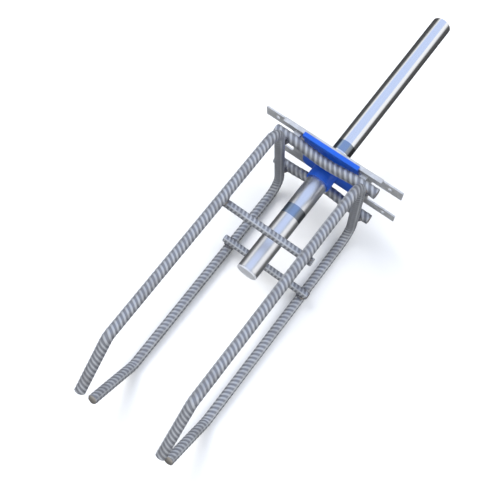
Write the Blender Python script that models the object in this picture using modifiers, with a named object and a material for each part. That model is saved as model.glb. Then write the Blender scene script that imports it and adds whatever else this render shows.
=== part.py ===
"""Sleeved shear dowel for a concrete expansion joint, with its anchor cage.

Units are metres. +X runs along the dowel, from the cage towards the joint,
+Y is across the front plate, +Z is up. The part lies on its two lower legs:
the origin is at the bottom centre of the whole assembly.
"""
import math
import bmesh
import bpy
from mathutils import Vector

MM = 0.001

# ---- driving dimensions ---------------------------------------------------
GAP = 0.3 * MM                      # clearance between neighbouring solids

DOWEL_D = 22.0 * MM                 # solid stainless dowel
DOWEL_LENGTH = 350.0 * MM
DOWEL_CHAMFER = 1.2 * MM
DOWEL_ROOM = 8.0 * MM               # free space in the sleeve behind the dowel

SLEEVE_WALL = 0.5 * MM
SLEEVE_LENGTH = 148.0 * MM          # plate's outer face to the inner end of the tube
CAP_THICKNESS = 2.0 * MM
CAP_PLUG = 4.0 * MM
CAP_CHAMFER = 0.8 * MM

PLATE_THICKNESS = 2.0 * MM
PLATE_WIDTH = 168.0 * MM
PLATE_DROP = 35.0 * MM              # dowel axis to the plate's lower edge
PLATE_RISE = 40.0 * MM              # dowel axis to the top of the folded lip
LIP_DEPTH = 6.0 * MM                # folded lip, measured from the outer face
LIP_SETBACK = 24.0 * MM             # plate's side edge to the end of the lip
FOLD_RADIUS = 2.5 * MM              # outside of the fold
EAR_LENGTH = 35.5 * MM              # plate's side edge to the closed end of a slot
SLOT_HEIGHT = 45.0 * MM
SLOT_CORNER = 3.0 * MM
NAIL_HOLE_D = 5.0 * MM
NAIL_HOLE_EDGE = 14.5 * MM          # plate's side edge to a nail hole's centre

COLLAR_WIDTH = 67.0 * MM
COLLAR_BASE = 2.7 * MM              # flat part against the plate
COLLAR_MARGIN = 7.0 * MM            # plate left showing below the collar
COLLAR_HOOK_NOSE = 2.5 * MM         # hook's wall in front of the lip
COLLAR_HOOK_WALL = 1.7 * MM         # hook's wall over and under the lip
COLLAR_HOOK_COVER = 4.0 * MM        # lip left showing behind the hook
COLLAR_BOSS_WALL = 1.9 * MM
COLLAR_BOSS_LENGTH = 26.5 * MM      # outer face of the plate to the end of the boss
COLLAR_CORNER = 8.0 * MM

BAR_D = 11.2 * MM                   # 10 mm ribbed bar, measured over its ribs
CROSS_BAR_D = 9.0 * MM              # 8 mm ribbed bar, measured over its ribs
STIRRUP_Y = 49.0 * MM
STIRRUP_HALF_HEIGHT = 67.3 * MM     # dowel axis to a leg's axis
STIRRUP_BEND = 22.0 * MM            # radius of the bar's axis in the two main bends
LEG_LENGTH = 261.0 * MM             # web axis to the corner of the tip bend
TIP_BEND = 15.0 * MM
TIP_LENGTH = 67.0 * MM
TIP_ANGLE = math.radians(38.0)

FRONT_BAR_BOW = 6.0 * MM            # the bars dip towards the sleeve at mid length
FRONT_BAR_STRAIGHT = 4.0 * MM       # stirrup's axis to the start of the dip
FRONT_BAR_OVERHANG = 7.9 * MM       # bar beyond the outside of a stirrup
BOSS_CLEARANCE = 8.6 * MM           # collar's boss to a front bar at its lowest
HOOK_CLEARANCE = 1.1 * MM           # front bars to the collar's hook
CROSS_BAR_X = 91.5 * MM             # behind the web axis
CROSS_BAR_OVERHANG = 1.9 * MM

SPACER_WIDTH = 8.0 * MM
SPACER_HEIGHT = 8.0 * MM
SPACER_CLEARANCE = 3.5 * MM         # collar's side to a spacer
SPACER_DROP = 3.2 * MM              # front bar's axis to a spacer's middle

WELD_REACH = 7.0 * MM
WELD_THICKNESS = 3.4 * MM

# Facets.
ROUND_SIDES = 48
BAR_SIDES = 16
HOLE_SIDES = 16
WELD_CUT_SIDES = 26
WELD_RINGS = 8
BEND_STEPS = 8
TIP_STEPS = 4
BOW_STEPS = 20
FOLD_STEPS = 5
INNER_FOLD_STEPS = 3
SLOT_CORNER_STEPS = 4
COLLAR_CORNER_STEPS = 3
SMOOTH_ANGLE = math.radians(35.0)

CUT_PAST = 10.0 * MM                # how far a cutter runs past what it cuts
TOUCHING = 0.001 * MM               # closer than this, two places are the same

# ---- sizes that follow ----------------------------------------------------
DOWEL_R = DOWEL_D / 2
BORE_R = DOWEL_R + GAP
SLEEVE_R = BORE_R + SLEEVE_WALL
COLLAR_BORE_R = SLEEVE_R + GAP
COLLAR_BOSS_R = COLLAR_BORE_R + COLLAR_BOSS_WALL
COLLAR_DROP = PLATE_DROP - COLLAR_MARGIN
COLLAR_HOOK_FRONT = LIP_DEPTH + GAP + COLLAR_HOOK_NOSE

LIP_HALF = PLATE_WIDTH / 2 - LIP_SETBACK
SLOT_INNER = PLATE_WIDTH / 2 - EAR_LENGTH
NAIL_HOLE_Y = PLATE_WIDTH / 2 - NAIL_HOLE_EDGE

BAR_R = BAR_D / 2
CROSS_BAR_R = CROSS_BAR_D / 2
CROSS_BAR_Z = STIRRUP_HALF_HEIGHT - BAR_R - CROSS_BAR_R - GAP
CROSS_BAR_HALF = STIRRUP_Y + BAR_R + CROSS_BAR_OVERHANG
FRONT_BAR_Z = COLLAR_BOSS_R + BOSS_CLEARANCE + FRONT_BAR_BOW + BAR_R
FRONT_BAR_HALF = STIRRUP_Y + BAR_R + FRONT_BAR_OVERHANG
FRONT_BAR_BOW_HALF = STIRRUP_Y - FRONT_BAR_STRAIGHT
SPACER_Y = COLLAR_WIDTH / 2 + SPACER_CLEARANCE + SPACER_WIDTH / 2
SPACER_Z = FRONT_BAR_Z - SPACER_DROP

# Places along X, counted from the stirrups' web axis.
FRONT_BAR_X = 2 * BAR_R + GAP
FRONT_BAR_FACE = FRONT_BAR_X + BAR_R
PLATE_OUTER = FRONT_BAR_FACE + HOOK_CLEARANCE + COLLAR_HOOK_FRONT
PLATE_INNER = PLATE_OUTER - PLATE_THICKNESS
SLEEVE_INNER_END = PLATE_OUTER - SLEEVE_LENGTH
DOWEL_FREE_END = SLEEVE_INNER_END + CAP_PLUG + DOWEL_ROOM + DOWEL_LENGTH
TIP_END_X = -LEG_LENGTH - TIP_LENGTH * math.cos(TIP_ANGLE)
TIP_END_Z = STIRRUP_HALF_HEIGHT - TIP_LENGTH * math.sin(TIP_ANGLE)

# The assembly's frame: web axis and dowel axis, seen from the origin.
REAR = TIP_END_X - BAR_R * math.sin(TIP_ANGLE)
WEB_X = -(REAR + DOWEL_FREE_END) / 2
AXIS_Z = STIRRUP_HALF_HEIGHT + BAR_R

# Materials: name, colour, roughness, metallic.
STEEL = ("ribbed_steel", (0.40, 0.41, 0.42), 0.45, 0.9)
STAINLESS = ("stainless", (0.76, 0.79, 0.84), 0.14, 1.0)
ZINC = ("zinc_plate", (0.62, 0.63, 0.64), 0.35, 0.9)
BLUE = ("blue_plastic", (0.005, 0.09, 0.52), 0.35, 0.0)
WELD = ("weld_metal", (0.30, 0.30, 0.31), 0.5, 0.9)

ALONG_X, ALONG_Y, ALONG_Z = (1, 0, 0), (0, 1, 0), (0, 0, 1)


# ---- scene helpers --------------------------------------------------------
def clear_scene():
    for obj in list(bpy.data.objects):
        bpy.data.objects.remove(obj, do_unlink=True)


def new_collection(name):
    collection = bpy.data.collections.new(name)
    bpy.context.scene.collection.children.link(collection)
    return collection


def material(spec):
    name, color, roughness, metallic = spec
    if name in bpy.data.materials:
        return bpy.data.materials[name]
    mat = bpy.data.materials.new(name)
    mat.use_nodes = True
    shader = mat.node_tree.nodes["Principled BSDF"]
    shader.inputs["Base Color"].default_value = (*color, 1.0)
    shader.inputs["Roughness"].default_value = roughness
    shader.inputs["Metallic"].default_value = metallic
    return mat


def place(obj, x=0.0, y=0.0, z=0.0):
    """Put an object at a point given from the web axis and the dowel axis."""
    obj.location = (WEB_X + x, y, AXIS_Z + z)


def link(obj, spec):
    parts.objects.link(obj)
    obj.data.materials.append(material(spec))
    return obj


def mesh_object(name, bm, spec, smooth=True):
    bmesh.ops.recalc_face_normals(bm, faces=bm.faces[:])
    mesh = bpy.data.meshes.new(name)
    bm.to_mesh(mesh)
    bm.free()
    if smooth:
        mesh.shade_smooth()
        mesh.set_sharp_from_angle(angle=SMOOTH_ANGLE)
    return link(bpy.data.objects.new(name, mesh), spec)


def add_cutter(bm, name):
    bmesh.ops.recalc_face_normals(bm, faces=bm.faces[:])
    mesh = bpy.data.meshes.new(name)
    bm.to_mesh(mesh)
    bm.free()
    obj = bpy.data.objects.new(name, mesh)
    cutters.objects.link(obj)
    obj.hide_render = True
    obj.display_type = 'WIRE'
    return obj


def cut(obj, cutter):
    mod = obj.modifiers.new("cut_" + cutter.name, 'BOOLEAN')
    mod.operation = 'DIFFERENCE'
    mod.solver = 'EXACT'
    mod.object = cutter


def join_with(obj, other):
    mod = obj.modifiers.new("join_" + other.name, 'BOOLEAN')
    mod.operation = 'UNION'
    mod.solver = 'EXACT'
    mod.object = other


def box_bmesh(size):
    bm = bmesh.new()
    bmesh.ops.create_cube(bm, size=1.0)
    bmesh.ops.scale(bm, vec=size, verts=bm.verts[:])
    return bm


def cylinder_bmesh(radius, length, axis, sides):
    bm = bmesh.new()
    bmesh.ops.create_cone(bm, cap_ends=True, segments=sides, radius1=radius, radius2=radius, depth=length)
    turn = Vector((0, 0, 1)).rotation_difference(Vector(axis)).to_matrix()
    bmesh.ops.rotate(bm, verts=bm.verts[:], matrix=turn)
    return bm


def round_edges(bm, edges, width, steps):
    bmesh.ops.bevel(bm, geom=edges, offset=width, segments=steps, profile=0.5, affect='EDGES')


def edges_along(bm, axis, test=lambda middle: True):
    """The edges parallel to one axis whose middle passes a test."""
    found = []
    for edge in bm.edges:
        a, b = (v.co for v in edge.verts)
        run = b - a
        others = [abs(run[i]) for i in range(3) if i != axis]
        if abs(run[axis]) > TOUCHING and max(others) < TOUCHING and test((a + b) / 2):
            found.append(edge)
    return found


def turned(name, profile, spec):
    """A solid of revolution about X: profile is (radius, x) pairs from the +X end down to the -X end."""
    bm = bmesh.new()
    verts = [bm.verts.new((radius, 0.0, x)) for radius, x in profile]
    for a, b in zip(verts, verts[1:]):
        bm.edges.new((a, b))
    mesh = bpy.data.meshes.new(name)
    bm.to_mesh(mesh)
    bm.free()
    obj = link(bpy.data.objects.new(name, mesh), spec)
    screw = obj.modifiers.new("turn", 'SCREW')
    screw.axis = 'Z'
    screw.angle = 2 * math.pi
    screw.steps = ROUND_SIDES
    screw.render_steps = ROUND_SIDES
    screw.use_merge_vertices = True
    screw.merge_threshold = TOUCHING
    screw.use_smooth_shade = True
    obj.rotation_euler = (0.0, math.pi / 2, 0.0)
    return obj


def round_bar(name, points, diameter):
    """A bar of round section along a list of points, with flat sawn ends."""
    curve = bpy.data.curves.new(name, 'CURVE')
    curve.dimensions = '3D'
    curve.bevel_depth = diameter / 2
    curve.bevel_resolution = BAR_SIDES // 2 - 2
    curve.use_fill_caps = True
    spline = curve.splines.new('POLY')
    spline.points.add(len(points) - 1)
    for target, co in zip(spline.points, points):
        target.co = (*co, 1.0)
    return link(bpy.data.objects.new(name, curve), STEEL)


def outline_solid(name, outline, width):
    """An outline of (x, z) points, filled and extruded to a width along Y, as a mesh."""
    curve = bpy.data.curves.new(name, 'CURVE')
    curve.dimensions = '2D'
    curve.fill_mode = 'BOTH'
    curve.extrude = width / 2
    spline = curve.splines.new('POLY')
    spline.points.add(len(outline) - 1)
    for target, (x, z) in zip(spline.points, outline):
        target.co = (x, z, 0.0, 1.0)
    spline.use_cyclic_u = True
    source = bpy.data.objects.new(name + "_outline", curve)
    bpy.context.scene.collection.objects.link(source)
    source.rotation_euler = (math.pi / 2, 0.0, 0.0)
    graph = bpy.context.evaluated_depsgraph_get()
    graph.update()
    mesh = bpy.data.meshes.new_from_object(source.evaluated_get(graph))
    mesh.transform(source.matrix_world)
    bpy.data.objects.remove(source, do_unlink=True)
    bm = bmesh.new()
    bm.from_mesh(mesh)
    bmesh.ops.remove_doubles(bm, verts=bm.verts[:], dist=TOUCHING)
    return bm


def arc(center, radius, start, end, steps):
    """Points (x, z) on an arc, with angles in degrees from +X towards +Z."""
    points = []
    for i in range(steps + 1):
        angle = math.radians(start + (end - start) * i / steps)
        points.append((center[0] + radius * math.cos(angle), center[1] + radius * math.sin(angle)))
    return points


# ---- dowel and sleeve -----------------------------------------------------
def make_dowel():
    c = DOWEL_CHAMFER
    profile = [(0, 0), (DOWEL_R - c, 0), (DOWEL_R, -c), (DOWEL_R, c - DOWEL_LENGTH),
               (DOWEL_R - c, -DOWEL_LENGTH), (0, -DOWEL_LENGTH)]
    place(turned("dowel_bar", profile, STAINLESS), x=DOWEL_FREE_END)


def make_sleeve():
    """A thin tube: its mouth is flush with the plate's outer face."""
    profile = [(BORE_R, 0), (SLEEVE_R, 0), (SLEEVE_R, -SLEEVE_LENGTH), (BORE_R, -SLEEVE_LENGTH), (BORE_R, 0)]
    place(turned("dowel_sleeve", profile, STAINLESS), x=PLATE_OUTER)


def make_end_cap():
    """A plug in the sleeve's inner end, with a chamfered disc that covers the tube's edge."""
    plug_r = BORE_R - GAP
    face = -GAP
    back = face - CAP_THICKNESS
    profile = [(0, CAP_PLUG), (plug_r, CAP_PLUG), (plug_r, face), (SLEEVE_R, face),
               (SLEEVE_R, back + CAP_CHAMFER), (SLEEVE_R - CAP_CHAMFER, back), (0, back)]
    place(turned("sleeve_end_cap", profile, STAINLESS), x=SLEEVE_INNER_END)


# ---- front plate ----------------------------------------------------------
def make_plate():
    """A folded sheet with four ears: slots split its two sides, and a lip stiffens its top edge."""
    inner_fold = FOLD_RADIUS - PLATE_THICKNESS
    fold = (PLATE_OUTER - FOLD_RADIUS, PLATE_RISE - FOLD_RADIUS)
    lip_edge = PLATE_OUTER - LIP_DEPTH
    outline = [(PLATE_OUTER, -PLATE_DROP)]
    outline += arc(fold, FOLD_RADIUS, 0, 90, FOLD_STEPS)
    outline += [(lip_edge, PLATE_RISE), (lip_edge, PLATE_RISE - PLATE_THICKNESS)]
    outline += arc(fold, inner_fold, 90, 0, INNER_FOLD_STEPS)
    outline += [(PLATE_INNER, -PLATE_DROP)]
    bm = outline_solid("front_plate", outline, PLATE_WIDTH)
    plate = mesh_object("front_plate", bm, ZINC)
    place(plate)

    ear_top = PLATE_RISE - FOLD_RADIUS
    for side in (-1, 1):
        trim_width = LIP_SETBACK + CUT_PAST
        bm = box_bmesh((LIP_DEPTH + CUT_PAST, trim_width, CUT_PAST))
        trim = add_cutter(bm, f"lip_trim_{side}")
        place(trim, PLATE_OUTER - LIP_DEPTH / 2, side * (LIP_HALF + trim_width / 2), ear_top + CUT_PAST / 2)
        cut(plate, trim)

        slot_width = EAR_LENGTH + CUT_PAST
        bm = box_bmesh((PLATE_THICKNESS + CUT_PAST, slot_width, SLOT_HEIGHT))
        inner_corners = edges_along(bm, 0, lambda middle: middle.y * side < 0)
        round_edges(bm, inner_corners, SLOT_CORNER, SLOT_CORNER_STEPS)
        slot = add_cutter(bm, f"slot_{side}")
        place(slot, PLATE_OUTER - PLATE_THICKNESS / 2, side * (SLOT_INNER + slot_width / 2))
        cut(plate, slot)

        for level in (-1, 1):
            outer_edge = ear_top if level > 0 else PLATE_DROP
            hole_z = level * (SLOT_HEIGHT / 2 + outer_edge) / 2
            bm = cylinder_bmesh(NAIL_HOLE_D / 2, PLATE_THICKNESS + CUT_PAST, ALONG_X, HOLE_SIDES)
            hole = add_cutter(bm, f"nail_hole_{side}_{level}")
            place(hole, PLATE_OUTER - PLATE_THICKNESS / 2, side * NAIL_HOLE_Y, hole_z)
            cut(plate, hole)

    bm = cylinder_bmesh(COLLAR_BORE_R, PLATE_THICKNESS + CUT_PAST, ALONG_X, ROUND_SIDES)
    bore = add_cutter(bm, "plate_bore")
    place(bore, PLATE_OUTER - PLATE_THICKNESS / 2)
    cut(plate, bore)


def make_collar():
    """Blue moulding: a flat base on the plate, a hook over its lip, and a boss round the sleeve."""
    base_back = PLATE_INNER - GAP
    base_front = base_back - COLLAR_BASE
    hook_front = PLATE_OUTER - COLLAR_HOOK_FRONT
    lip_edge = PLATE_OUTER - LIP_DEPTH - GAP
    lip_under = PLATE_RISE - PLATE_THICKNESS - GAP
    lip_over = PLATE_RISE + GAP
    hook_top = lip_over + COLLAR_HOOK_WALL
    hook_end = PLATE_OUTER - COLLAR_HOOK_COVER
    outline = [(base_back, -COLLAR_DROP), (base_back, lip_under), (lip_edge, lip_under), (lip_edge, lip_over),
               (hook_end, lip_over), (hook_end, hook_top), (hook_front, hook_top),
               (hook_front, lip_under - COLLAR_HOOK_WALL), (base_front, lip_under - COLLAR_HOOK_WALL),
               (base_front, -COLLAR_DROP)]
    bm = outline_solid("sleeve_collar", outline, COLLAR_WIDTH)
    lower_corners = edges_along(bm, 0, lambda middle: middle.z < TOUCHING - COLLAR_DROP)
    round_edges(bm, lower_corners, COLLAR_CORNER, COLLAR_CORNER_STEPS)
    collar = mesh_object("sleeve_collar", bm, BLUE)
    place(collar)

    boss_length = COLLAR_BOSS_LENGTH - (PLATE_OUTER - base_back) - COLLAR_BASE / 2
    bm = cylinder_bmesh(COLLAR_BOSS_R, boss_length, ALONG_X, ROUND_SIDES)
    boss = add_cutter(bm, "collar_boss")
    place(boss, PLATE_OUTER - COLLAR_BOSS_LENGTH + boss_length / 2)
    join_with(collar, boss)

    bm = cylinder_bmesh(COLLAR_BORE_R, COLLAR_BOSS_LENGTH + 2 * CUT_PAST, ALONG_X, ROUND_SIDES)
    bore = add_cutter(bm, "collar_bore")
    place(bore, PLATE_OUTER - COLLAR_BOSS_LENGTH / 2)
    cut(collar, bore)


# ---- anchor cage ----------------------------------------------------------
def stirrup_points():
    """Axis of one stirrup, from the upper tip round the web to the lower tip."""
    tip_tangent = TIP_BEND * math.tan(TIP_ANGLE / 2)
    corner = -LEG_LENGTH
    upper = [(TIP_END_X, TIP_END_Z)]
    turn = math.degrees(TIP_ANGLE)
    upper += arc((corner + tip_tangent, STIRRUP_HALF_HEIGHT - TIP_BEND), TIP_BEND, 90 + turn, 90, TIP_STEPS)
    upper += arc((-STIRRUP_BEND, STIRRUP_HALF_HEIGHT - STIRRUP_BEND), STIRRUP_BEND, 90, 0, BEND_STEPS)
    lower = [(x, -z) for x, z in reversed(upper)]
    return [(x, 0.0, z) for x, z in upper + lower]


def make_stirrups():
    for name, side in (("left_stirrup", 1), ("right_stirrup", -1)):
        place(round_bar(name, stirrup_points(), BAR_D), y=side * STIRRUP_Y)


def bow_at(y):
    """How far a front bar has dipped towards the sleeve."""
    if abs(y) >= FRONT_BAR_BOW_HALF:
        return 0.0
    return FRONT_BAR_BOW * (1 + math.cos(math.pi * y / FRONT_BAR_BOW_HALF)) / 2


def make_front_bars():
    stations = [FRONT_BAR_BOW_HALF * (2 * i / BOW_STEPS - 1) for i in range(BOW_STEPS + 1)]
    stations = [-FRONT_BAR_HALF] + stations + [FRONT_BAR_HALF]
    for name, level in (("upper_front_bar", 1), ("lower_front_bar", -1)):
        points = [(0.0, y, -level * bow_at(y)) for y in stations]
        place(round_bar(name, points, BAR_D), x=FRONT_BAR_X, z=level * FRONT_BAR_Z)


def make_cross_bars():
    for name, level in (("upper_cross_bar", 1), ("lower_cross_bar", -1)):
        points = [(0.0, -CROSS_BAR_HALF, 0.0), (0.0, CROSS_BAR_HALF, 0.0)]
        place(round_bar(name, points, CROSS_BAR_D), x=-CROSS_BAR_X, z=level * CROSS_BAR_Z)


def make_spacers():
    """Short flats that hold the plate off the upper front bar."""
    front = FRONT_BAR_FACE + GAP
    back = PLATE_INNER - GAP
    for name, side in (("left_spacer", 1), ("right_spacer", -1)):
        bm = box_bmesh((back - front, SPACER_WIDTH, SPACER_HEIGHT))
        spacer = mesh_object(name, bm, ZINC, smooth=False)
        place(spacer, (front + back) / 2, side * SPACER_Y, SPACER_Z)


# ---- welds ----------------------------------------------------------------
def make_weld(name, contact, half_sizes, bars):
    """Weld metal round the point where two bars cross, cut back from both.

    half_sizes is the bead's reach along each axis, and bars holds the radius,
    the direction and a point on the axis of each bar.
    """
    bm = bmesh.new()
    bmesh.ops.create_uvsphere(bm, u_segments=2 * WELD_RINGS, v_segments=WELD_RINGS, radius=1.0)
    bmesh.ops.scale(bm, vec=half_sizes, verts=bm.verts[:])
    weld = mesh_object(name, bm, WELD)
    place(weld, *contact)
    for number, (radius, axis, point) in enumerate(bars):
        bm = cylinder_bmesh(radius + GAP, 2 * (WELD_REACH + CUT_PAST), axis, WELD_CUT_SIDES)
        cutter = add_cutter(bm, f"{name}_cutter_{number}")
        place(cutter, *point)
        cut(weld, cutter)


def make_all_welds():
    for level_name, level in (("upper", 1), ("lower", -1)):
        for side_name, side in (("left", 1), ("right", -1)):
            y = side * STIRRUP_Y

            z = level * FRONT_BAR_Z
            contact = (BAR_R + GAP / 2, y, z)
            reach = (WELD_THICKNESS, WELD_REACH, WELD_REACH)
            bars = [(BAR_R, ALONG_Y, (FRONT_BAR_X, y, z)), (BAR_R, ALONG_Z, (0.0, y, z))]
            make_weld(f"{level_name}_{side_name}_front_weld", contact, reach, bars)

            leg_z = level * STIRRUP_HALF_HEIGHT
            contact = (-CROSS_BAR_X, y, leg_z - level * (BAR_R + GAP / 2))
            reach = (WELD_REACH, WELD_REACH, WELD_THICKNESS)
            cross_bar = (CROSS_BAR_R, ALONG_Y, (-CROSS_BAR_X, y, level * CROSS_BAR_Z))
            bars = [cross_bar, (BAR_R, ALONG_X, (-CROSS_BAR_X, y, leg_z))]
            make_weld(f"{level_name}_{side_name}_cross_weld", contact, reach, bars)


clear_scene()
parts = new_collection("shear_dowel")
cutters = new_collection("cutters")
make_dowel()
make_sleeve()
make_end_cap()
make_plate()
make_collar()
make_stirrups()
make_front_bars()
make_cross_bars()
make_spacers()
make_all_welds()
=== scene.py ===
import math

import bmesh
import bpy
from mathutils import Matrix, Vector


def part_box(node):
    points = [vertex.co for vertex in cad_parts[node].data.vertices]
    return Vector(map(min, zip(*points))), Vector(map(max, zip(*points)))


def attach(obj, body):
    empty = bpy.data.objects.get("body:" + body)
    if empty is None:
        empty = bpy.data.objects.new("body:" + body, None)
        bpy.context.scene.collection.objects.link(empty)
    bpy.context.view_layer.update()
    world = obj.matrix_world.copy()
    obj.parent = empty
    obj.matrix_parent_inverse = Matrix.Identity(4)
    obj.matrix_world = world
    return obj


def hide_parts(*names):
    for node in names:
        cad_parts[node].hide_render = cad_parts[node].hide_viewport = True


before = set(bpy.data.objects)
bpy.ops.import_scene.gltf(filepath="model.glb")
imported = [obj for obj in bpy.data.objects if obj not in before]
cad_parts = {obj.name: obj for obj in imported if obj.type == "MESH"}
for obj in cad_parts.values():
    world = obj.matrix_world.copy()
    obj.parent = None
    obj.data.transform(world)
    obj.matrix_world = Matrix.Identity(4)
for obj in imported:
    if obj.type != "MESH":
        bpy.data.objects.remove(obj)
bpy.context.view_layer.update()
mm = 0.001
samePlace = 0.01 * mm  # two places closer than this are the same
alongX = (1, 0, 0)
sharpEdge = math.radians(50)  # what turns more than this is rounded
print("frame loaded:", len(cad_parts), "nodes")


# --- selecting and editing ---
def selectOnly(obj):
    bpy.ops.object.select_all(action="DESELECT")
    obj.select_set(True)
    bpy.context.view_layer.objects.active = obj


def startEdit(obj):
    selectOnly(obj)
    bpy.ops.object.mode_set(mode="EDIT")
    bpy.ops.mesh.select_all(action="SELECT")


def endEdit():
    bpy.ops.object.mode_set(mode="OBJECT")


def pick(obj, kind, test, facing=None):  # in edit mode, selects what passes a test of its middle
    bpy.ops.mesh.select_mode(type=kind)
    bpy.ops.mesh.select_all(action="DESELECT")
    mesh = bmesh.from_edit_mesh(obj.data)
    if kind == "VERT":
        found = [v for v in mesh.verts if test(v.co)]
    elif kind == "EDGE":
        found = [e for e in mesh.edges if test((e.verts[0].co + e.verts[1].co) / 2)]
    else:
        found = [f for f in mesh.faces if test(f.calc_center_median())]
        if facing:
            found = [f for f in found if abs(f.normal.dot(Vector(facing))) > 0.99]
    for item in found:
        item.select = True
    mesh.select_flush_mode()
    bmesh.update_edit_mesh(obj.data)


def named(name, scale=(1, 1, 1)):  # names the new primitive and puts its size and place into its mesh
    obj = bpy.context.object
    obj.name = obj.data.name = name
    obj.scale = scale
    selectOnly(obj)
    bpy.ops.object.transform_apply(location=True, rotation=True, scale=True)
    return obj


def box(name, low, high):
    bpy.ops.object.select_all(action="DESELECT")
    middle = [(a + b) / 2 for a, b in zip(low, high)]
    size = [b - a for a, b in zip(low, high)]
    bpy.ops.mesh.primitive_cube_add(size=1, location=middle)
    return named(name, size)


def rod(name, radius, start, end, y, z, sides=96, fill="NGON"):  # a cylinder along X
    bpy.ops.object.select_all(action="DESELECT")
    bpy.ops.mesh.primitive_cylinder_add(vertices=sides, radius=radius, depth=end - start, end_fill_type=fill,
                                        location=((start + end) / 2, y, z), rotation=(0, math.pi / 2, 0))
    return named(name)


def applied(obj, kind, **settings):
    modifier = obj.modifiers.new(kind.lower(), kind)
    for key, value in settings.items():
        setattr(modifier, key, value)
    selectOnly(obj)
    bpy.ops.object.modifier_apply(modifier=modifier.name)


def boolean(obj, operation, other):
    applied(obj, "BOOLEAN", operation=operation, solver="EXACT", object=other)
    bpy.data.objects.remove(other, do_unlink=True)


def smooth(obj, degrees=40):
    selectOnly(obj)
    bpy.ops.object.shade_smooth_by_angle(angle=math.radians(degrees))


def finished(obj, look, body, slot, *nodes):  # nodes are the CAD nodes that the piece stands for
    if not obj.data.materials:
        obj.data.materials.append(look)
    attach(obj, body)
    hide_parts(*nodes)


# --- materials ---
def newMaterial(name, color, roughness, metallic):
    material = bpy.data.materials.new(name)
    material.use_nodes = True
    material.diffuse_color = (*color, 1)
    tree = material.node_tree
    shader = tree.nodes["Principled BSDF"]
    shader.inputs["Base Color"].default_value = (*color, 1)
    shader.inputs["Roughness"].default_value = roughness
    shader.inputs["Metallic"].default_value = metallic
    return material, tree, shader


def add(tree, kind, inputs=None, **settings):
    node = tree.nodes.new(kind)
    for key, value in settings.items():
        setattr(node, key, value)
    for key, value in (inputs or {}).items():
        if isinstance(value, bpy.types.NodeSocket):
            tree.links.new(value, node.inputs[key])
        else:
            node.inputs[key].default_value = value
    return node


def objectCoords(tree, scale=(1, 1, 1), turn=(0, 0, 0)):
    coords = add(tree, "ShaderNodeTexCoord")
    inputs = {"Vector": coords.outputs["Object"], "Scale": scale, "Rotation": turn}
    return add(tree, "ShaderNodeMapping", inputs).outputs["Vector"]


def noise(tree, vector, scale, detail=3, roughness=0.5):
    inputs = {"Vector": vector, "Scale": scale, "Detail": detail, "Roughness": roughness}
    return add(tree, "ShaderNodeTexNoise", inputs).outputs["Fac"]


def calc(tree, operation, a, b, clamp=False):
    return add(tree, "ShaderNodeMath", {0: a, 1: b}, operation=operation, use_clamp=clamp).outputs[0]


def ramp(tree, value, stops):
    node = add(tree, "ShaderNodeValToRGB", {"Fac": value})
    elements = node.color_ramp.elements
    while len(elements) < len(stops):
        elements.new(0.5)
    for element, (place, level) in zip(elements, stops):
        element.position = place
        element.color = (*level, 1) if isinstance(level, tuple) else (level, level, level, 1)
    return node.outputs["Color"]


def mixColor(tree, factor, a, b, blend="MIX"):
    node = add(tree, "ShaderNodeMix", data_type="RGBA", blend_type=blend)
    for index, value in ((0, factor), (6, a), (7, b)):
        if isinstance(value, bpy.types.NodeSocket):
            tree.links.new(value, node.inputs[index])
        elif index == 0:
            node.inputs[index].default_value = value
        else:
            node.inputs[index].default_value = (*value, 1)
    return node.outputs[2]


def span(tree, value, low, high):  # a 0 to 1 value as a value from low to high
    inputs = {"Value": value, "To Min": low, "To Max": high}
    return add(tree, "ShaderNodeMapRange", inputs).outputs["Result"]


def addBump(tree, shader, height, strength, distance):
    bump = add(tree, "ShaderNodeBump", {"Height": height, "Strength": strength, "Distance": distance})
    tree.links.new(bump.outputs["Normal"], shader.inputs["Normal"])


ribbedLook = {
    "crestHighlight": (0.56, 0.58, 0.61),
    "flank": (0.45, 0.47, 0.50),
    "valleyShade": (0.27, 0.28, 0.31),
    "scaleTint": (0.20, 0.19, 0.19),
    "scaleShare": 0.28,
    "roughness": (0.40, 0.62),
    "grainScale": 900,
    "patchScale": 70,
    "bump": (0.35, 0.12 * mm),
}


def ribbedSteel():
    look = ribbedLook
    material, tree, shader = newMaterial("ribbedSteel", look["flank"], 0.5, 0.6)
    coords = objectCoords(tree)
    height = add(tree, "ShaderNodeAttribute", attribute_name="ribHeight").outputs["Fac"]
    grain = noise(tree, coords, look["grainScale"], 5, 0.6)
    patches = noise(tree, coords, look["patchScale"], 4)
    # rib height paints shade into the valleys and a highlight on the crests, mixed with random grain
    ribShadeAndGrain = calc(tree, "ADD", height, calc(tree, "MULTIPLY", calc(tree, "SUBTRACT", grain, 0.5), 0.5))
    stops = [(0.10, look["valleyShade"]), (0.45, look["flank"]), (0.85, look["crestHighlight"])]
    color = ramp(tree, ribShadeAndGrain, stops)
    scaled = calc(tree, "MULTIPLY", ramp(tree, patches, [(0.48, 0.0), (0.62, 1.0)]), look["scaleShare"])
    color = mixColor(tree, scaled, color, look["scaleTint"])
    tree.links.new(color, shader.inputs["Base Color"])
    tree.links.new(span(tree, grain, *look["roughness"]), shader.inputs["Roughness"])
    addBump(tree, shader, grain, *look["bump"])
    return material


sawnLook = {
    "color": (0.50, 0.49, 0.46),
    "dark": (0.34, 0.33, 0.31),
    "bright": (0.66, 0.64, 0.60),
    "rust": (0.30, 0.24, 0.19),
    "rustShare": 0.4,
    "bump": (0.4, 0.08 * mm),
}


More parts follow.
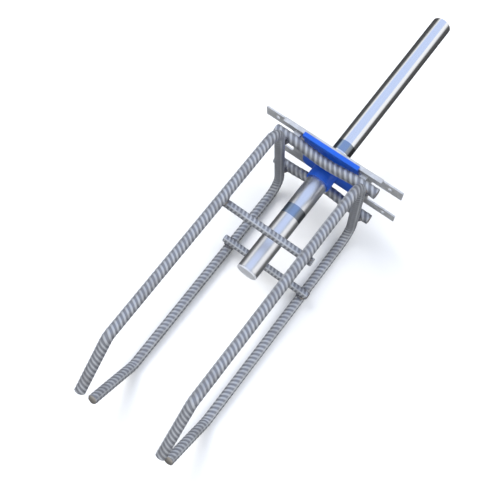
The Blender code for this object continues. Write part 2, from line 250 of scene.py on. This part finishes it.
def sawnSteel():  # the flat cut ends of the bars
    look = sawnLook
    material, tree, shader = newMaterial("sawnSteel", look["color"], 0.45, 0.8)
    lines = noise(tree, objectCoords(tree, (200, 200, 4200), (0.4, 0.2, 0)), 1, 2)
    blotches = noise(tree, objectCoords(tree), 400, 3)
    color = mixColor(tree, lines, look["dark"], look["bright"])
    color = mixColor(tree, calc(tree, "MULTIPLY", blotches, look["rustShare"]), color, look["rust"])
    tree.links.new(color, shader.inputs["Base Color"])
    addBump(tree, shader, lines, *look["bump"])
    return material


polishedLook = {
    "color": (0.94, 0.95, 0.97),
    "dark": (0.84, 0.86, 0.90),
    "shadeColor": (0.19, 0.31, 0.50),
    "deepShade": (0.07, 0.09, 0.12),  # the band's darker side: painted deeper shade
    "dowelRoughness": (0.09, 0.20),
    "sleeveRoughness": (0.27, 0.38),
    "capRoughness": (0.36, 0.50),
    "shadeSoftness": 0.6 * mm,
    "shadeShare": 0.8,
    "deepShadeEdge": (-4.0 * mm, -7.5 * mm),  # across the bar, where the painted deeper shade starts and is full
    "bump": (0.05, 0.02 * mm),
}


# bright drawn steel with one painted band of bluish shade, darker on one side
def polishedSteel(name, shadeStart, roughness, metallic=1.0):
    look = polishedLook
    material, tree, shader = newMaterial(name, look["color"], 0.1, metallic)
    drawn = noise(tree, objectCoords(tree, (12, 1600, 1600)), 1, 4, 0.6)
    clouds = noise(tree, objectCoords(tree), 45, 3)
    color = mixColor(tree, drawn, look["color"], look["dark"])
    # a painted band of shade along the bar, darker towards one side across it
    along = add(tree, "ShaderNodeSeparateXYZ", {0: objectCoords(tree)}).outputs["X"]
    edges = []
    for start, sign in ((shadeStart, 1), (shadeStart + paintedShadeBand["length"], -1)):
        inputs = {"Value": along, "From Min": start, "From Max": start + sign * look["shadeSoftness"]}
        edges.append(add(tree, "ShaderNodeMapRange", inputs).outputs["Result"])
    band = calc(tree, "MULTIPLY", calc(tree, "MULTIPLY", *edges), look["shadeShare"])
    across = add(tree, "ShaderNodeSeparateXYZ", {0: objectCoords(tree)}).outputs["Y"]
    start, full = look["deepShadeEdge"]
    inputs = {"Value": across, "From Min": start, "From Max": full}
    deepShadeShare = add(tree, "ShaderNodeMapRange", inputs).outputs["Result"]
    shadeColor = mixColor(tree, deepShadeShare, look["shadeColor"], look["deepShade"])
    color = mixColor(tree, band, color, shadeColor)
    tree.links.new(color, shader.inputs["Base Color"])
    rough = calc(tree, "MULTIPLY", calc(tree, "ADD", drawn, clouds), 0.5)
    tree.links.new(span(tree, rough, *roughness), shader.inputs["Roughness"])
    addBump(tree, shader, drawn, *look["bump"])
    return material


zincLook = {
    "light": (0.64, 0.65, 0.66),
    "grey": (0.46, 0.47, 0.48),
    "stain": (0.34, 0.34, 0.34),
    "roughness": (0.32, 0.52),
    "crystalScale": 190,
    "crystalShare": 0.6,
    "stainShare": 0.4,
    "bump": (0.2, 0.05 * mm),
}


def zincPlate():  # galvanised sheet: flat crystals of slightly different brightness
    look = zincLook
    material, tree, shader = newMaterial("zincPlate", look["light"], 0.4, 0.4)
    coords = objectCoords(tree)
    crystals = add(tree, "ShaderNodeTexVoronoi", {"Vector": coords, "Scale": look["crystalScale"]})
    facet = add(tree, "ShaderNodeSeparateColor", {0: crystals.outputs["Color"]}).outputs[0]
    clouds = noise(tree, coords, 60, 4)
    grain = noise(tree, coords, 1400, 3)
    color = mixColor(tree, calc(tree, "MULTIPLY", facet, look["crystalShare"]), look["light"], look["grey"])
    stained = calc(tree, "MULTIPLY", ramp(tree, clouds, [(0.50, 0.0), (0.72, 1.0)]), look["stainShare"])
    color = mixColor(tree, stained, color, look["stain"])
    tree.links.new(color, shader.inputs["Base Color"])
    tree.links.new(span(tree, facet, *look["roughness"]), shader.inputs["Roughness"])
    height = calc(tree, "ADD", grain, calc(tree, "MULTIPLY", facet, 0.5))
    addBump(tree, shader, height, *look["bump"])
    return material


blueLook = {
    "color": (0.007, 0.082, 0.54),
    "pale": (0.014, 0.128, 0.66),
    "roughness": (0.26, 0.42),
    "bump": (0.25, 0.04 * mm),
}


def bluePlastic():
    look = blueLook
    material, tree, shader = newMaterial("bluePlastic", look["color"], 0.36, 0.0)
    coords = objectCoords(tree)
    clouds = noise(tree, coords, 90, 4)
    grain = noise(tree, coords, 2600, 2)
    tree.links.new(mixColor(tree, clouds, look["color"], look["pale"]), shader.inputs["Base Color"])
    tree.links.new(span(tree, grain, *look["roughness"]), shader.inputs["Roughness"])
    addBump(tree, shader, grain, *look["bump"])
    return material


weldLook = {
    "color": (0.22, 0.23, 0.25),
    "patches": [  # burnt, blue, straw and bright
        (0.30, (0.05, 0.05, 0.06)), (0.48, (0.20, 0.21, 0.25)),
        (0.60, (0.33, 0.30, 0.27)), (0.75, (0.55, 0.56, 0.58)),
    ],
    "roughness": (0.3, 0.6),
    "bump": (0.4, 0.15 * mm),
}


def weldMetal():
    look = weldLook
    material, tree, shader = newMaterial("weldMetal", look["color"], 0.42, 0.85)
    coords = objectCoords(tree)
    clouds = noise(tree, coords, 260, 5, 0.65)
    grain = noise(tree, coords, 1500, 4)
    tree.links.new(ramp(tree, clouds, look["patches"]), shader.inputs["Base Color"])
    tree.links.new(span(tree, grain, *look["roughness"]), shader.inputs["Roughness"])
    addBump(tree, shader, grain, *look["bump"])
    return material


# --- places, read from the frame ---
stirrupLow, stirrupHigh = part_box("left_stirrup")
barRadius = (stirrupHigh.y - stirrupLow.y) / 2  # over the ribs
webX = stirrupHigh.x - barRadius
axisZ = (stirrupLow.z + stirrupHigh.z) / 2
legRise = (stirrupHigh.z - stirrupLow.z) / 2 - barRadius
stirrupY = (stirrupHigh.y + stirrupLow.y) / 2
plateLow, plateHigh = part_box("front_plate")
dowelLow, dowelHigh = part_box("dowel_bar")
sleeveLow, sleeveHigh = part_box("dowel_sleeve")

# where the painted band of bluish shade lies on the dowel and on the sleeve
paintedShadeBand = {
    "dowelStart": 14 * mm,  # from the plate
    "sleeveStart": -11.5 * mm,
    "length": 13 * mm,
}
ribbedMaterial = ribbedSteel()
sawnMaterial = sawnSteel()
dowelShadeStart = plateHigh.x + paintedShadeBand["dowelStart"]
dowelMaterial = polishedSteel("dowelSteel", dowelShadeStart, polishedLook["dowelRoughness"])
sleeveMaterial = polishedSteel("sleeveSteel", paintedShadeBand["sleeveStart"], polishedLook["sleeveRoughness"])
capMaterial = polishedSteel("capSteel", paintedShadeBand["sleeveStart"], polishedLook["capRoughness"], 0.45)
zincMaterial = zincPlate()
blueMaterial = bluePlastic()
weldMaterial = weldMetal()
print("materials made")

# --- ribbed bars ---
ribShape = {
    "sides": 28,
    # places as a share of the pitch, each with its share of the height
    "rise": [(0.0, 0.0), (0.16, 0.0), (0.30, 0.85), (0.46, 1.0), (0.62, 0.85), (0.76, 0.0), (1.0, 0.0)],
    "slant": math.radians(36),
    "seamShare": 0.6,  # a rib's height beside the seams, as a share of its full height
    "seamRise": 0.4 * mm,  # the two seams that run along the bar
    "chamfer": 0.35 * mm,
    "spare": 2,  # pitches past each end, sawn off
}


def routeCurve(name, knots):  # a flat curve through (place, handle before, handle after)
    curve = bpy.data.curves.new(name, "CURVE")
    curve.dimensions = "2D"
    curve.resolution_u = 32
    spline = curve.splines.new("BEZIER")
    spline.bezier_points.add(len(knots) - 1)
    for point, (place, before, after) in zip(spline.bezier_points, knots):
        point.handle_left_type = point.handle_right_type = "FREE"
        point.co = (*place, 0)
        point.handle_left = (*before, 0)
        point.handle_right = (*after, 0)
    route = bpy.data.objects.new(name, curve)
    bpy.context.scene.collection.objects.link(route)
    return route


def bentKnots(corners, radii):  # straight runs joined by arcs
    corners = [Vector(c) for c in corners]
    first = (corners[1] - corners[0]) / 4  # without handles a bar's end would have no direction
    last = (corners[-1] - corners[-2]) / 4
    knots = [(corners[0], corners[0] - first, corners[0] + first)]
    for before, corner, after, radius in zip(corners, corners[1:], corners[2:], radii):
        into = (corner - before).normalized()
        out = (after - corner).normalized()
        turn = into.angle(out)
        setback = radius * math.tan(turn / 2)
        handle = radius * math.tan(turn / 4) * 4 / 3
        start = corner - into * setback
        end = corner + out * setback
        knots.append((start, start - into * handle, start + into * handle))
        knots.append((end, end - out * handle, end + out * handle))
    knots.append((corners[-1], corners[-1] - last, corners[-1] + last))
    return knots


def ribbedBar(name, route, core, over, pitch, roll, phase, turn):
    # one pitch of the bar, then an array of it, sawn to length and bent along the route
    shape = ribShape
    length = route.data.splines[0].calc_length()
    count = round(length / pitch)
    pitch = length / count
    bpy.ops.object.select_all(action="DESELECT")
    bpy.ops.mesh.primitive_circle_add(vertices=shape["sides"], radius=core / 2, rotation=(0, math.pi / 2, 0),
                                      location=((phase - shape["spare"]) * pitch, 0, 0))
    bar = named(name)
    startEdit(bar)
    bpy.ops.mesh.select_mode(type="EDGE")
    center = ((phase - shape["spare"]) * pitch, 0, 0)
    bpy.ops.transform.rotate(value=shape["slant"], orient_axis="Y", center_override=center)
    bpy.ops.transform.resize(value=(1, 1, 1 / math.cos(shape["slant"])), center_override=center)
    widest = over / core - 1
    for (place, rise), (nextPlace, nextRise) in zip(shape["rise"], shape["rise"][1:]):
        step = (nextPlace - place) * pitch
        bpy.ops.mesh.extrude_region_move(TRANSFORM_OT_translate={"value": (step, 0, 0)})
        wider = (1 + widest * nextRise) / (1 + widest * rise)
        taller = (1 + widest * shape["seamShare"] * nextRise) / (1 + widest * shape["seamShare"] * rise)
        bpy.ops.transform.resize(value=(1, wider, taller), center_override=center)
    pick(bar, "VERT", lambda co: abs(co.y) < samePlace)
    bpy.ops.transform.resize(value=(1, 1, 1 + shape["seamRise"] / (core / 2)), center_override=center)
    endEdit()
    applied(bar, "ARRAY", count=count + 2 * shape["spare"],
            use_relative_offset=False, use_constant_offset=True,
            constant_offset_displace=(pitch, 0, 0), use_merge_vertices=True, merge_threshold=samePlace)
    startEdit(bar)
    bpy.ops.transform.rotate(value=roll, orient_axis="X", center_override=(0, 0, 0))
    chamfer = shape["chamfer"]
    bpy.ops.mesh.bisect(plane_co=(chamfer, 0, 0), plane_no=alongX, use_fill=True, clear_inner=True)
    bpy.ops.mesh.select_all(action="SELECT")
    bpy.ops.mesh.bisect(plane_co=(length - chamfer, 0, 0), plane_no=alongX, use_fill=True, clear_outer=True)
    bar.data.materials.append(ribbedMaterial)
    bar.data.materials.append(sawnMaterial)
    for end, outward in ((chamfer, -1), (length - chamfer, 1)):
        pick(bar, "FACE", lambda co: abs(co.x - end) < samePlace, alongX)
        bpy.ops.mesh.inset(thickness=chamfer)
        bar.active_material_index = 1
        bpy.ops.object.material_slot_assign()
        bpy.ops.transform.translate(value=(outward * chamfer, 0, 0))
    bpy.ops.mesh.select_all(action="SELECT")
    bpy.ops.mesh.normals_make_consistent(inside=False)
    endEdit()
    rise = bar.data.attributes.new("ribHeight", "FLOAT", "POINT")
    values = [(math.hypot(v.co.y, v.co.z) - core / 2) / ((over - core) / 2) for v in bar.data.vertices]
    rise.data.foreach_set("value", values)
    applied(bar, "CURVE", object=route, deform_axis="POS_X")
    bpy.data.objects.remove(route, do_unlink=True)
    bar.matrix_world = turn
    selectOnly(bar)
    bpy.ops.object.transform_apply(location=True, rotation=True, scale=True)
    smooth(bar, 60)
    return bar


stirrupShape = {
    "core": 10.5 * mm,
    "over": 11.2 * mm,
    "pitch": 5.0 * mm,
    "roll": math.radians(-38),
    "bend": 22 * mm,
    "legLength": 261 * mm,
    "tipBend": 15 * mm,
    "tipLength": 67 * mm,
    "tipAngle": math.radians(38),
}


def makeStirrup(name, node, y, phase):
    shape = stirrupShape
    corner = webX - shape["legLength"]
    tip = Vector((-math.cos(shape["tipAngle"]), -math.sin(shape["tipAngle"]))) * shape["tipLength"]
    upper = [Vector((corner, legRise)) + tip, Vector((corner, legRise)), Vector((webX, legRise))]
    lower = [Vector((p.x, -p.y)) for p in reversed(upper)]
    radii = [shape["tipBend"], shape["bend"], shape["bend"], shape["tipBend"]]
    route = routeCurve(name + "Route", bentKnots(upper + lower, radii))
    upright = Matrix.Translation((0, y, axisZ)) @ Matrix.Rotation(math.pi / 2, 4, "X")
    bar = ribbedBar(name, route, shape["core"], shape["over"], shape["pitch"], shape["roll"], phase, upright)
    finished(bar, ribbedMaterial, "cage", "ribbed_steel", node)


makeStirrup("leftStirrup", "left_stirrup", stirrupY, 0.2)
makeStirrup("rightStirrup", "right_stirrup", -stirrupY, 0.7)
print("stirrups made")

# along the route becomes along Y
acrossPlate = Matrix(((0, 0, 1, 0), (1, 0, 0, 0), (0, 1, 0, 0), (0, 0, 0, 1)))
frontBarShape = {
    "core": 10.5 * mm,
    "over": 11.2 * mm,
    "pitch": 6.4 * mm,
    "roll": math.radians(200),
    "straight": 4 * mm,  # stirrup's axis to the start of the dip
    "dip": 6 * mm,
    "halfWave": 0.364,  # a handle as a share of half the dip, which makes it a half wave
}
crossBarShape = {"core": 8.5 * mm, "over": 8.9 * mm, "pitch": 4.6 * mm, "roll": math.radians(115)}


def makeFrontBar(name, node, level, phase):
    shape = frontBarShape
    low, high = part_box(node)
    half = high.y
    dipHalf = stirrupY - shape["straight"]
    stub = Vector(((half - dipHalf) / 3, 0))
    wave = Vector((shape["halfWave"] * dipHalf, 0))
    dip = -level * shape["dip"]
    knots = []
    for x, y, before, after in ((-half, 0, stub, stub), (-dipHalf, 0, stub, wave), (0, dip, wave, wave),
                                (dipHalf, 0, wave, stub), (half, 0, stub, stub)):
        place = Vector((x, y))
        knots.append((place, place - before, place + after))
    route = routeCurve(name + "Route", knots)
    outer = high.z - barRadius if level > 0 else low.z + barRadius
    turn = Matrix.Translation(((low.x + high.x) / 2, 0, outer)) @ acrossPlate
    bar = ribbedBar(name, route, shape["core"], shape["over"], shape["pitch"], shape["roll"], phase, turn)
    finished(bar, ribbedMaterial, "cage", "ribbed_steel", node)


def makeCrossBar(name, node, phase):
    shape = crossBarShape
    low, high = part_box(node)
    ends = [Vector((low.y, 0)), Vector((high.y, 0))]
    route = routeCurve(name + "Route", bentKnots(ends, []))
    turn = Matrix.Translation(((low.x + high.x) / 2, 0, (low.z + high.z) / 2)) @ acrossPlate
    bar = ribbedBar(name, route, shape["core"], shape["over"], shape["pitch"], shape["roll"], phase, turn)
    finished(bar, ribbedMaterial, "cage", "ribbed_steel", node)


makeFrontBar("upperFrontBar", "upper_front_bar", 1, 0.35)
makeFrontBar("lowerFrontBar", "lower_front_bar", -1, 0.8)
makeCrossBar("upperCrossBar", "upper_cross_bar", 0.1)
makeCrossBar("lowerCrossBar", "lower_cross_bar", 0.55)
print("front and cross bars made")

# --- dowel, sleeve and end cap ---
dowelShape = {
    "chamfer": 1.2 * mm,
    "rings": 5,  # turning marks on each end face
    "ringWidth": 1.7 * mm,
    "ringDepth": 0.06 * mm,
}


def turnedFace(obj, x, rings, width, depth):  # concentric tool marks on a flat end
    outward = 1 if x > 0 else -1
    pick(obj, "FACE", lambda co: abs(co.x - x) < samePlace, alongX)
    for ring in range(rings):
        bpy.ops.mesh.inset(thickness=width)
        step = -depth if ring % 2 == 0 else depth
        bpy.ops.transform.translate(value=(outward * step, 0, 0))


def makeDowel():
    shape = dowelShape
    radius = (dowelHigh.z - dowelLow.z) / 2
    dowel = rod("dowel", radius, dowelLow.x, dowelHigh.x, 0, axisZ, 128)
    startEdit(dowel)
    for x in (dowelLow.x, dowelHigh.x):
        pick(dowel, "FACE", lambda co: abs(co.x - x) < samePlace, alongX)
        bpy.ops.mesh.bevel(offset=shape["chamfer"], segments=3, profile=0.6, affect="EDGES")
        turnedFace(dowel, x, shape["rings"], shape["ringWidth"], shape["ringDepth"])
    endEdit()
    smooth(dowel, 35)
    finished(dowel, dowelMaterial, "dowel", "stainless", "dowel_bar")


sleeveShape = {"wall": 0.5 * mm, "mouthRound": 0.15 * mm}


def makeSleeve():
    shape = sleeveShape
    radius = (sleeveHigh.z - sleeveLow.z) / 2
    sleeve = rod("sleeve", radius, sleeveLow.x, sleeveHigh.x, 0, axisZ, 128, fill="NOTHING")
    applied(sleeve, "SOLIDIFY", thickness=shape["wall"], offset=-1)
    applied(sleeve, "BEVEL", width=shape["mouthRound"], segments=2, limit_method="ANGLE",
            angle_limit=sharpEdge)
    smooth(sleeve, 50)
    finished(sleeve, sleeveMaterial, "cage", "stainless", "dowel_sleeve")


capShape = {
    "plug": 4 * mm,
    "round": 0.8 * mm,
    "dish": 2.4 * mm,
    "dishDepth": 0.35 * mm,
    "clearance": 0.3 * mm,
}


def makeEndCap():
    shape = capShape
    low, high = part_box("sleeve_end_cap")
    radius = (high.z - low.z) / 2
    flange = high.x - shape["plug"] - shape["clearance"]
    cap = rod("sleeveEndCap", radius, low.x, flange, 0, axisZ, 128)
    startEdit(cap)
    pick(cap, "FACE", lambda co: abs(co.x - flange) < samePlace, alongX)
    bpy.ops.mesh.inset(thickness=sleeveShape["wall"] + 2 * shape["clearance"])
    bpy.ops.mesh.extrude_region_move(TRANSFORM_OT_translate={"value": (high.x - flange, 0, 0)})
    pick(cap, "FACE", lambda co: abs(co.x - low.x) < samePlace, alongX)
    bpy.ops.mesh.bevel(offset=shape["round"], segments=4, profile=0.5, affect="EDGES")
    pick(cap, "FACE", lambda co: abs(co.x - low.x) < samePlace, alongX)
    bpy.ops.mesh.inset(thickness=shape["dish"])
    bpy.ops.mesh.inset(thickness=shape["dishDepth"])
    bpy.ops.transform.translate(value=(shape["dishDepth"], 0, 0))
    endEdit()
    smooth(cap, 35)
    finished(cap, capMaterial, "cage", "stainless", "sleeve_end_cap")


makeDowel()
makeSleeve()
makeEndCap()
print("dowel, sleeve and end cap made")

# --- front plate ---
plateShape = {
    "thickness": 2 * mm,
    "fold": 2.5 * mm,  # outside radius
    "foldSteps": 6,
    "lipSetback": 24 * mm,
    "earLength": 35.5 * mm,
    "slotHeight": 45 * mm,
    "slotCorner": 3 * mm,
    "holeRadius": 2.5 * mm,
    "holeEdge": 14.5 * mm,
    "edgeRound": 0.3 * mm,
    "splitNear": 0.001 * mm,
}
cutPast = 10 * mm


def makePlate():
    shape = plateShape
    inner = plateHigh.x - shape["thickness"]
    low, top = plateLow.z, plateHigh.z
    half = plateHigh.y
    foldX = plateHigh.x - shape["fold"]
    foldZ = top - shape["fold"]
    bpy.ops.object.select_all(action="DESELECT")
    bpy.ops.mesh.primitive_plane_add(size=1, location=((inner + plateHigh.x) / 2, 0, low))
    plate = named("frontPlate", (shape["thickness"], 2 * half, 1))
    startEdit(plate)
    bpy.ops.mesh.extrude_region_move(TRANSFORM_OT_translate={"value": (0, 0, foldZ - low)})
    for step in range(shape["foldSteps"]):  # the fold, turned a little at a time
        bpy.ops.mesh.extrude_region_move(TRANSFORM_OT_translate={"value": (0, 0, 0)})
        turnStep(plate, (foldX, 0, foldZ), math.radians(-90 / shape["foldSteps"]))
    bpy.ops.mesh.extrude_region_move(TRANSFORM_OT_translate={"value": (plateLow.x - foldX, 0, 0)})
    bpy.ops.mesh.select_all(action="SELECT")
    bpy.ops.mesh.normals_make_consistent(inside=False)
    for split in (0, half - shape["earLength"] - shape["slotCorner"], half - shape["holeEdge"]):
        for side in (-1, 1):  # no hole lies inside one face, so the cuts leave no slanted edges
            bpy.ops.mesh.select_all(action="SELECT")
            bpy.ops.mesh.bisect(plane_co=(0, side * split, 0), plane_no=(0, 1, 0),
                                threshold=shape["splitNear"])
    endEdit()
    earTop = foldZ
    slotLow = axisZ - shape["slotHeight"] / 2
    slotHigh = axisZ + shape["slotHeight"] / 2
    for side in (-1, 1):
        edges = sorted((side * (half - shape["lipSetback"]), side * (half + cutPast)))
        boolean(plate, "DIFFERENCE", box("lipTrim", (plateLow.x - cutPast, edges[0], earTop),
                                         (plateHigh.x + cutPast, edges[1], top + cutPast)))
        edges = sorted((side * (half - shape["earLength"]), side * (half + cutPast)))
        slot = box("slotCutter", (plateLow.x - cutPast, edges[0], slotLow),
                   (plateHigh.x + cutPast, edges[1], slotHigh))
        startEdit(slot)
        pick(slot, "EDGE", lambda co: abs(abs(co.y) - half + shape["earLength"]) < samePlace
             and abs(co.x - (plateLow.x + plateHigh.x) / 2) < samePlace)
        bpy.ops.mesh.bevel(offset=shape["slotCorner"], segments=6, affect="EDGES")
        endEdit()
        boolean(plate, "DIFFERENCE", slot)
        for z in ((slotHigh + earTop) / 2, (slotLow + low) / 2):
            hole = rod("nailHole", shape["holeRadius"], plateLow.x - cutPast, plateHigh.x + cutPast,
                       side * (half - shape["holeEdge"]), z, 32)
            boolean(plate, "DIFFERENCE", hole)
    radius = (sleeveHigh.z - sleeveLow.z) / 2 + capShape["clearance"]
    bore = rod("plateBore", radius, plateLow.x - cutPast, plateHigh.x + cutPast, 0, axisZ)
    boolean(plate, "DIFFERENCE", bore)
    applied(plate, "BEVEL", width=shape["edgeRound"], segments=2, limit_method="ANGLE",
            angle_limit=sharpEdge, use_clamp_overlap=True)
    smooth(plate, 40)
    finished(plate, zincMaterial, "cage", "zinc_plate", "front_plate")


def turnStep(obj, center, angle):  # transform.rotate turns the other way without a window
    bpy.ops.transform.rotate(value=-angle, orient_axis="Y", center_override=center)


makePlate()
print("front plate made")

# --- blue collar ---
collarShape = {
    "base": 2.7 * mm,
    "hookWall": 1.7 * mm,
    "hookNose": 2.5 * mm,
    "bossWall": 1.9 * mm,
    "bossStart": 26.5 * mm,  # from the plate's outer face
    "corner": 8 * mm,
    "hookCover": 4 * mm,  # lip left showing behind the hook
    "edgeRound": 0.7 * mm,
    "clearance": 0.3 * mm,
}


def makeCollar():
    shape = collarShape
    low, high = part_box("sleeve_collar")
    gap = shape["clearance"]
    half = high.y
    back = plateHigh.x - plateShape["thickness"] - gap
    bossX = plateHigh.x - shape["bossStart"]
    bottom = low.z
    hookFront = plateLow.x - gap - shape["hookNose"]
    lipUnder = plateHigh.z - plateShape["thickness"] - gap
    lipOver = plateHigh.z + gap
    collar = box("sleeveCollar", (back - shape["base"], -half, bottom), (back, half, lipUnder))
    startEdit(collar)
    pick(collar, "EDGE", lambda co: co.z < bottom + samePlace and abs(abs(co.y) - half) < samePlace)
    bpy.ops.mesh.bevel(offset=shape["corner"], segments=6, affect="EDGES")
    endEdit()
    hook = box("hook", (hookFront, -half, lipUnder - shape["hookWall"]), (back, half, high.z))
    boolean(hook, "DIFFERENCE", box("lipSlot", (plateLow.x - gap, -half - cutPast, lipUnder),
                                    (back + cutPast, half + cutPast, lipOver)))
    hookEnd = plateHigh.x - shape["hookCover"]
    boolean(hook, "DIFFERENCE", box("hookEnd", (hookEnd, -half - cutPast, lipOver - gap),
                                    (back + cutPast, half + cutPast, high.z + cutPast)))
    boolean(collar, "UNION", hook)
    boreRadius = (sleeveHigh.z - sleeveLow.z) / 2 + gap
    boss = rod("boss", boreRadius + shape["bossWall"], bossX, back - shape["base"] / 2, 0, axisZ)
    boolean(collar, "UNION", boss)
    boolean(collar, "DIFFERENCE", rod("collarBore", boreRadius, bossX - cutPast, back + cutPast, 0, axisZ))
    applied(collar, "BEVEL", width=shape["edgeRound"], segments=3, limit_method="ANGLE",
            angle_limit=sharpEdge, use_clamp_overlap=True)
    smooth(collar, 40)
    finished(collar, blueMaterial, "cage", "blue_plastic", "sleeve_collar")


makeCollar()
print("blue collar made")

# --- spacers and welds ---
beadShape = {
    "lumps": 9,
    "voxel": 0.42 * mm,
    "lump": 2.3 * mm,
    "lumpRise": 0.5 * mm,
    "flatLump": 0.86,  # the lump in the middle, as a share of the bead's box
}


def makeBead(name, node, thin):  # a ring of small puddles round a flat lump, melted together
    shape = beadShape
    low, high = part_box(node)
    center = (low + high) / 2
    half = [(b - a) / 2 for a, b in zip(low, high)]
    bpy.ops.object.select_all(action="DESELECT")
    bpy.ops.mesh.primitive_uv_sphere_add(segments=24, ring_count=12, radius=shape["flatLump"],
                                         location=center)
    bead = named(name, half)
    wide = [axis for axis in range(3) if axis != thin]
    for lump in range(shape["lumps"]):
        angle = 2 * math.pi * (lump + 0.3 * math.sin(lump * 5)) / shape["lumps"]
        place = list(center)
        reach = shape["lump"] * (0.85 + 0.15 * math.sin(lump * 7))
        place[wide[0]] += (half[wide[0]] - reach) * math.cos(angle)
        place[wide[1]] += (half[wide[1]] - reach) * math.sin(angle)
        place[thin] += shape["lumpRise"] * math.sin(lump * 3)
        bpy.ops.mesh.primitive_uv_sphere_add(segments=16, ring_count=8, radius=reach, location=place)
        named("puddle")
        bead.select_set(True)
        bpy.context.view_layer.objects.active = bead
        bpy.ops.object.join()
    applied(bead, "REMESH", mode="VOXEL", voxel_size=shape["voxel"], use_smooth_shade=True)
    applied(bead, "SMOOTH", factor=0.5, iterations=3)
    finished(bead, weldMaterial, "cage", "weld_metal", node)


spacerShape = {
    "reach": 0.3 * mm,  # meets the plate and the bar
    "rim": 1.2 * mm,
    "slope": 0.4 * mm,
    "sunk": 0.25 * mm,  # each side face, inside its rim
    "edgeRound": 0.45 * mm,
}


def makeSpacer(name, node):
    shape = spacerShape
    low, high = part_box(node)
    reach = shape["reach"]
    spacer = box(name, (low.x - reach, low.y, low.z), (high.x + reach, high.y, high.z))
    startEdit(spacer)
    middle, half = abs(low.y + high.y) / 2, (high.y - low.y) / 2
    pick(spacer, "FACE", lambda co: abs(abs(co.y) - middle) > half - samePlace)
    bpy.ops.mesh.inset(thickness=shape["rim"])
    bpy.ops.mesh.inset(thickness=shape["slope"], depth=-shape["sunk"])
    endEdit()
    applied(spacer, "BEVEL", width=shape["edgeRound"], segments=3, limit_method="ANGLE",
            angle_limit=math.radians(40))
    smooth(spacer, 40)
    finished(spacer, zincMaterial, "cage", "zinc_plate", node)


makeSpacer("leftSpacer", "left_spacer")
makeSpacer("rightSpacer", "right_spacer")
for level in ("upper", "lower"):
    for side in ("left", "right"):
        corner = level + side.capitalize()
        makeBead(corner + "FrontWeld", f"{level}_{side}_front_weld", 0)
        makeBead(corner + "CrossWeld", f"{level}_{side}_cross_weld", 2)
print("spacers and welds made")

# --- floor, light and camera ---
studio = {
    "floor": (0.95, 0.945, 0.92),
    "floorSize": 30,
    "backdrop": (0.90, 0.895, 0.87),  # what stands above the floor's far edge
    "domeToward": (-0.18, -0.16, 0.96),  # the middle of the bright dome
    "sky": [(0.0, 0.06), (0.50, 0.10), (0.57, 0.65), (0.64, 1.0), (1.0, 1.0)],  # by height in the dome
    "blueToward": (0.30, 0.05, 0.95),  # the middle of the sky's blue part
    "blue": [(0.71, 0.0), (0.77, 1.0)],
    "blueColor": (0.62, 0.73, 1.0),
    "darkEnd": [(0.30, 1.0), (0.80, 0.75)],  # the sky is dimmer behind the cage
    "skyStrength": 1.0,
}


def makeStudio():
    bpy.ops.object.select_all(action="DESELECT")
    bpy.ops.mesh.primitive_plane_add(size=studio["floorSize"])
    floor = named("floor")
    material, tree, shader = newMaterial("paleFloor", studio["floor"], 0.9, 0.0)
    floor.data.materials.append(material)
    floor.visible_glossy = False
    world = bpy.data.worlds.new("studio")
    world.use_nodes = True
    bpy.context.scene.world = world
    tree = world.node_tree
    direction = add(tree, "ShaderNodeTexCoord").outputs["Generated"]
    lean = {0: direction, 1: Vector(studio["domeToward"]).normalized()}
    height = add(tree, "ShaderNodeVectorMath", lean, operation="DOT_PRODUCT").outputs["Value"]
    share = add(tree, "ShaderNodeMapRange", {"Value": height, "From Min": -1.0}).outputs["Result"]
    toBlue = {0: direction, 1: Vector(studio["blueToward"]).normalized()}
    nearBlue = add(tree, "ShaderNodeVectorMath", toBlue, operation="DOT_PRODUCT").outputs["Value"]
    toCage = {0: direction, 1: (-1, 0, 0)}
    behind = add(tree, "ShaderNodeVectorMath", toCage, operation="DOT_PRODUCT").outputs["Value"]
    sky = ramp(tree, share, studio["sky"])
    sky = mixColor(tree, ramp(tree, nearBlue, studio["blue"]), sky, studio["blueColor"])
    sky = mixColor(tree, 1.0, sky, ramp(tree, behind, studio["darkEnd"]), "MULTIPLY")
    seen = add(tree, "ShaderNodeLightPath").outputs["Is Camera Ray"]
    sky = mixColor(tree, seen, sky, studio["backdrop"])
    back = tree.nodes["Background"]
    tree.links.new(sky, back.inputs["Color"])
    back.inputs["Strength"].default_value = studio["skyStrength"]


lamps = [
    {"name": "keyLamp", "place": (0.7, 2.4, 3.2), "size": 2.2, "power": 95},
    {"name": "sideLamp", "place": (2.2, -1.9, 2.3), "size": 1.7, "power": 45},
]


def makeLamps():
    for lamp in lamps:
        data = bpy.data.lights.new(lamp["name"], "AREA")
        data.size = lamp["size"]
        data.energy = lamp["power"]
        obj = bpy.data.objects.new(lamp["name"], data)
        obj.location = lamp["place"]
        toObject = Vector((0, 0, axisZ)) - obj.location
        obj.rotation_euler = toObject.to_track_quat("-Z", "Y").to_euler()
        obj.visible_glossy = False  # the steel mirrors the sky only
        bpy.context.scene.collection.objects.link(obj)


viewpoint = {
    "eye": (-0.25998, -0.1672, 0.8250),
    "target": (-0.0631, 0.0118, 0.0729),
    "roll": math.radians(-5.47),
    "lens": 56.28,
}


def makeCamera():
    data = bpy.data.cameras.new("camera")
    data.lens = viewpoint["lens"]
    camera = bpy.data.objects.new("camera", data)
    bpy.context.scene.collection.objects.link(camera)
    eye = Vector(viewpoint["eye"])
    forward = (Vector(viewpoint["target"]) - eye).normalized()
    level = forward.cross(Vector((0, 0, 1))).normalized()
    upward = level.cross(forward)
    right = level * math.cos(viewpoint["roll"]) + upward * math.sin(viewpoint["roll"])
    up = right.cross(forward)
    turn = Matrix((right, up, -forward)).transposed().to_4x4()
    camera.matrix_world = Matrix.Translation(eye) @ turn
    bpy.context.scene.camera = camera


makeStudio()
makeLamps()
makeCamera()
bpy.context.scene.view_settings.view_transform = "Standard"
print("studio ready")
